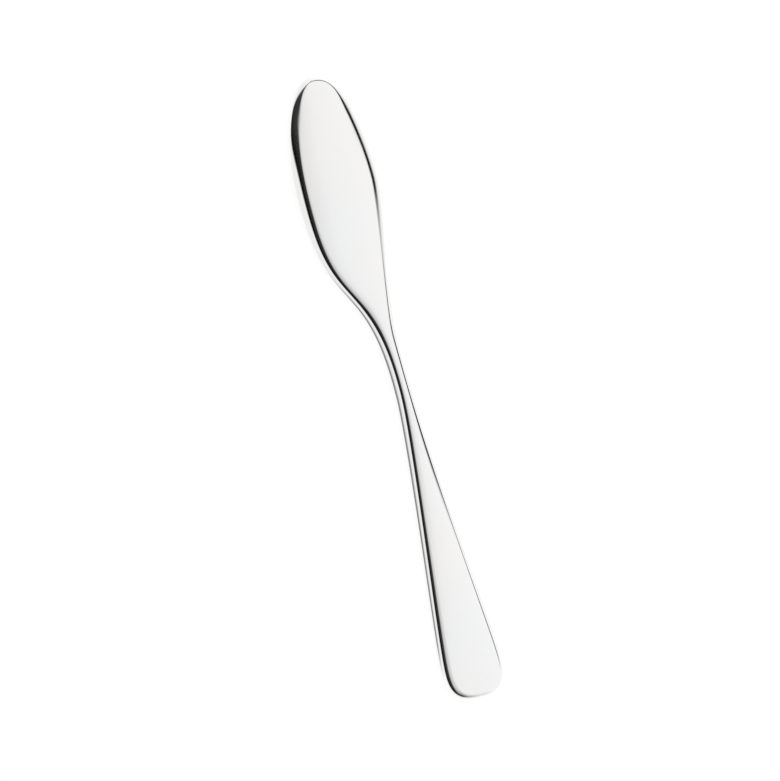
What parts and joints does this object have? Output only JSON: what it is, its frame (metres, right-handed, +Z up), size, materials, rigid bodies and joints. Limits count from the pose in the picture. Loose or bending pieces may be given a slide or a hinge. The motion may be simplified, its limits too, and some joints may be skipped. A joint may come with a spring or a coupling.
{
  "type": "butter knife",
  "caption": "One-piece butter knife: leaf-shaped blade with a round tip, slender neck and a flat handle that flares to a blunt, rounded end, all polished.",
  "frame": {"origin": "on the flat underside, below the middle of the knife's bounding box", "axes": "+X runs along the knife from the blade tip to the handle end, -Y is the cutting side, +Z points up out of the crowned face"},
  "size_m": [0.17, 0.0262, 0.004],
  "materials": {
    "polished_steel": "mirror-polished stainless steel"
  },
  "bodies": {
    "root": {"knife": "polished_steel"}
  },
  "joints": []
}
